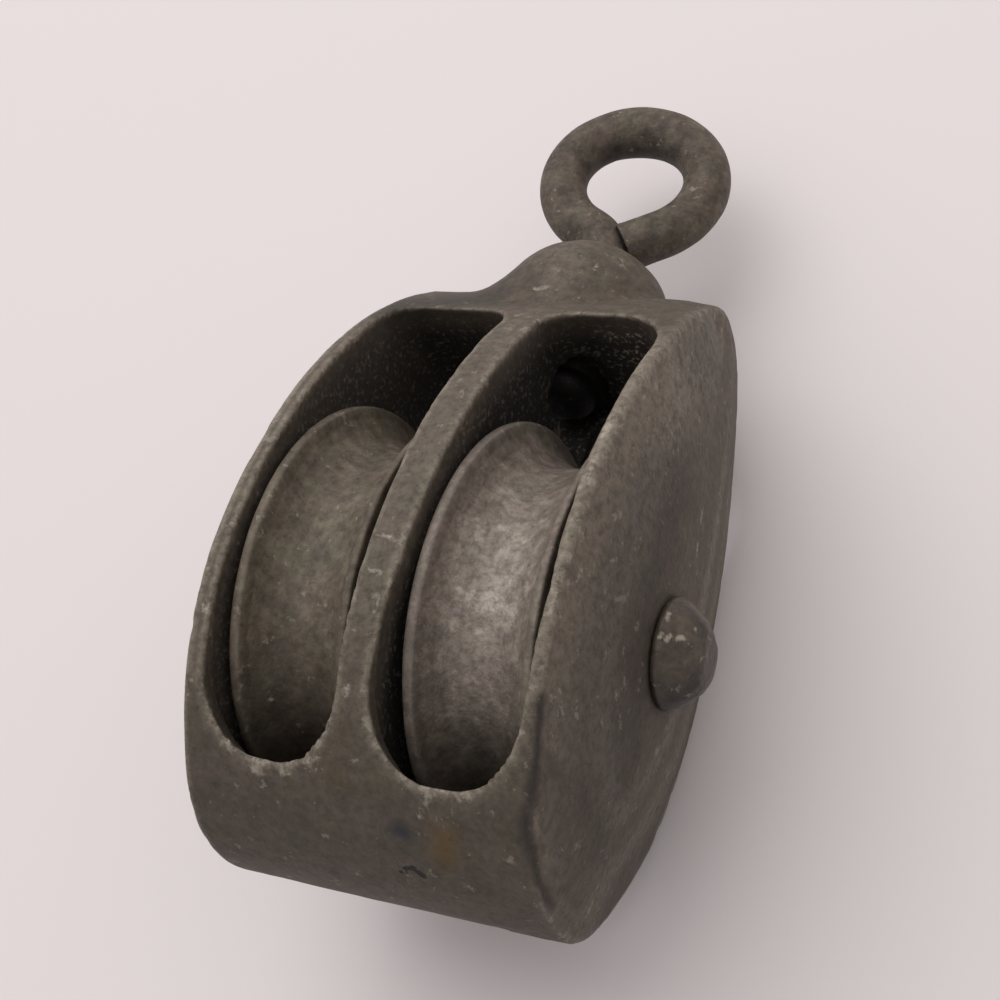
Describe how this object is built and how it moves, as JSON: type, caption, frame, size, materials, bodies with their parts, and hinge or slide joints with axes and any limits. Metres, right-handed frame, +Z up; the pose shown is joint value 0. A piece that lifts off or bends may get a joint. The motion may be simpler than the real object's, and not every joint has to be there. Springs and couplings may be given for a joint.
{
  "type": "pulley block",
  "caption": "Cast double-sheave pulley block with a swivel eye, grooved sheaves side by side on a riveted axle pin.",
  "frame": {"origin": "on the surface the block lies on, below the middle of its overall length and width", "axes": "+X along the axle pin towards the hammered head, +Y level from the tail towards the eye, +Z up, out of the windows at the front. The block lies on the small worn flat of its curved back, with its long axis 8.7 degrees below +Y towards the eye."},
  "size_m": [0.0586, 0.1162, 0.0528],
  "materials": {
    "shell_iron": "dull, rough cast, weathered",
    "left_sheave_iron": "dull, lightly worn groove",
    "right_sheave_iron": "worn groove, silvery patches",
    "pin_steel": "hammered head, dull with bright chips",
    "eye_iron": "forged round rod, pitted",
    "washer_iron": "dull, dark"
  },
  "bodies": {
    "block": {"shell": "shell_iron", "axle_pin": "pin_steel"},
    "left_sheave": {"left_sheave": "left_sheave_iron"},
    "right_sheave": {"right_sheave": "right_sheave_iron"},
    "swivel": {"swivel_eye": "eye_iron", "swivel_washer": "washer_iron"}
  },
  "joints": [
    {"name": "left_sheave_turn", "type": "hinge", "parent": "block", "child": "left_sheave", "pos_m": [-0.0103, -0.02444, 0.02631], "axis": [1, 0, 0], "continuous": true},
    {"name": "right_sheave_turn", "type": "hinge", "parent": "block", "child": "right_sheave", "pos_m": [0.0113, -0.02444, 0.02631], "axis": [1, 0, 0], "continuous": true},
    {"name": "eye_swivel", "type": "hinge", "parent": "block", "child": "swivel", "pos_m": [0, 0.02499, 0.01874], "axis": [0, 0.9885, -0.1513], "continuous": true}
  ]
}
